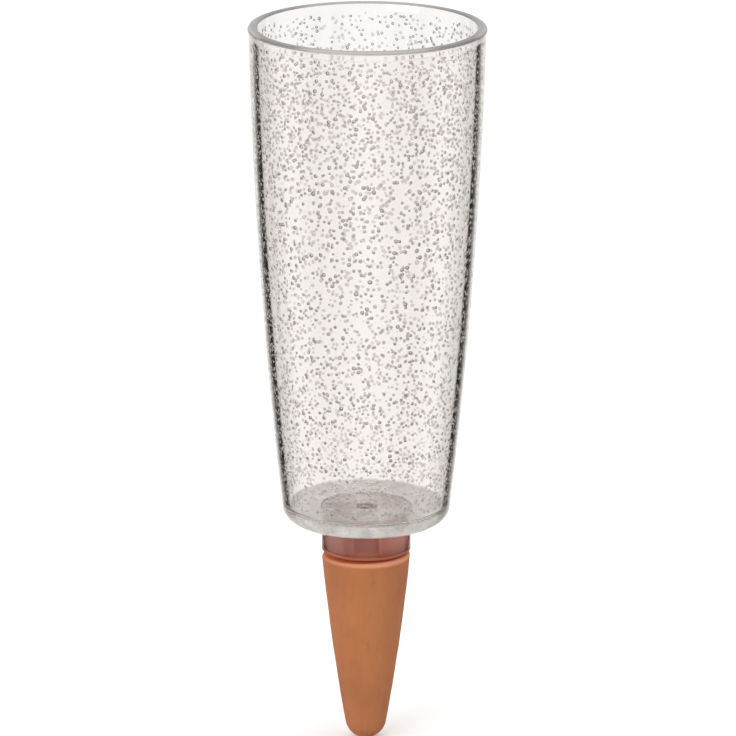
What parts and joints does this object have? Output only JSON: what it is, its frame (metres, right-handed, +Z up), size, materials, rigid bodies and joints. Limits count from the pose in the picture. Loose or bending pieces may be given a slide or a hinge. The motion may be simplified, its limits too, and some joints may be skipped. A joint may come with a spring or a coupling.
{
  "type": "self watering spike",
  "caption": "Clear tapered water cup, open at the top, on a hollow terracotta cone that pushes into soil and seeps water to a plant's roots.",
  "frame": {"origin": "centre of the cup's underside, which lies on the soil in use; the cup is above it and the collar and clay cone are below it", "axes": "+Z up along the axis of the cup and the cone; the object is turned, so X and Y are any two directions across it"},
  "size_m": [0.09, 0.09, 0.2821],
  "materials": {
    "bubbled_clear_plastic": "gloss",
    "clear_plastic": "gloss",
    "clear_cement": "gloss",
    "sealant": "satin",
    "terracotta": "matte"
  },
  "bodies": {
    "root": {"reservoir_cup": "bubbled_clear_plastic", "neck_collar": "clear_plastic", "floor_bond": "clear_cement", "neck_bond": "sealant", "clay_cone": "terracotta"}
  },
  "joints": []
}
